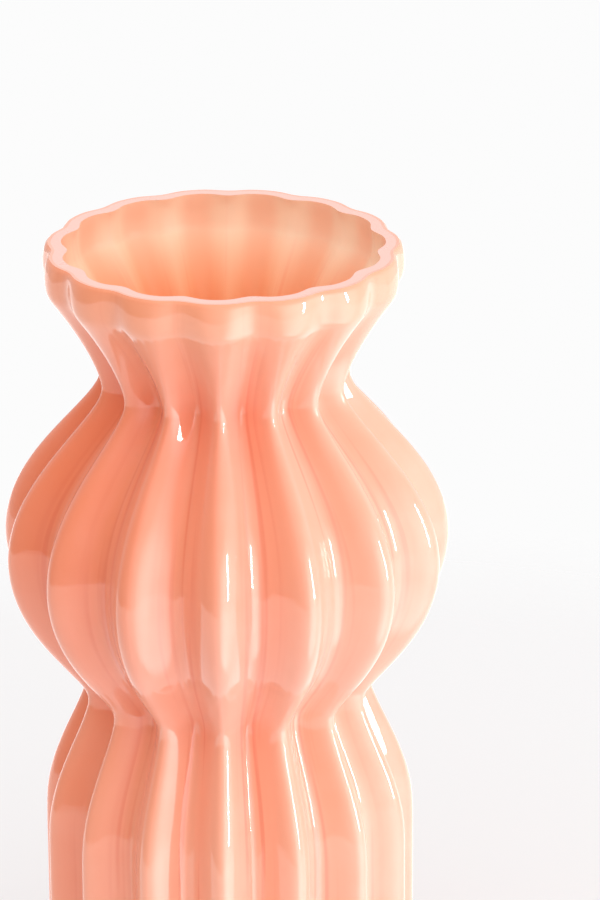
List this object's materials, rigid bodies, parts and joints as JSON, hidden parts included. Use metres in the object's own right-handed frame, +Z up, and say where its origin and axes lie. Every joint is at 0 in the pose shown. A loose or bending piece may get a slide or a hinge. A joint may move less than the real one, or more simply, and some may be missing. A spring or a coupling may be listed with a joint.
{
  "type": "glass vase",
  "caption": "Ribbed coral glass vase with a flared mouth, narrow neck, round bulb, narrow waist and straight lower body, for cut flowers.",
  "frame": {"origin": "on the table, at the axis of the vase", "axes": "+Z up along the axis of the vase, -Y towards the rib crest that faces the camera"},
  "size_m": [0.1492, 0.1485, 0.3002],
  "materials": {
    "opal_glass": "opaque pink-orange opal glass, glossy inside, ground smooth and satin at the cut rim",
    "casing_glass": "coral tinted glass fused over the opal, which makes it read as opaque; high gloss, fire polished"
  },
  "bodies": {
    "root": {"opal_body": "opal_glass", "outer_casing": "casing_glass"}
  },
  "joints": []
}
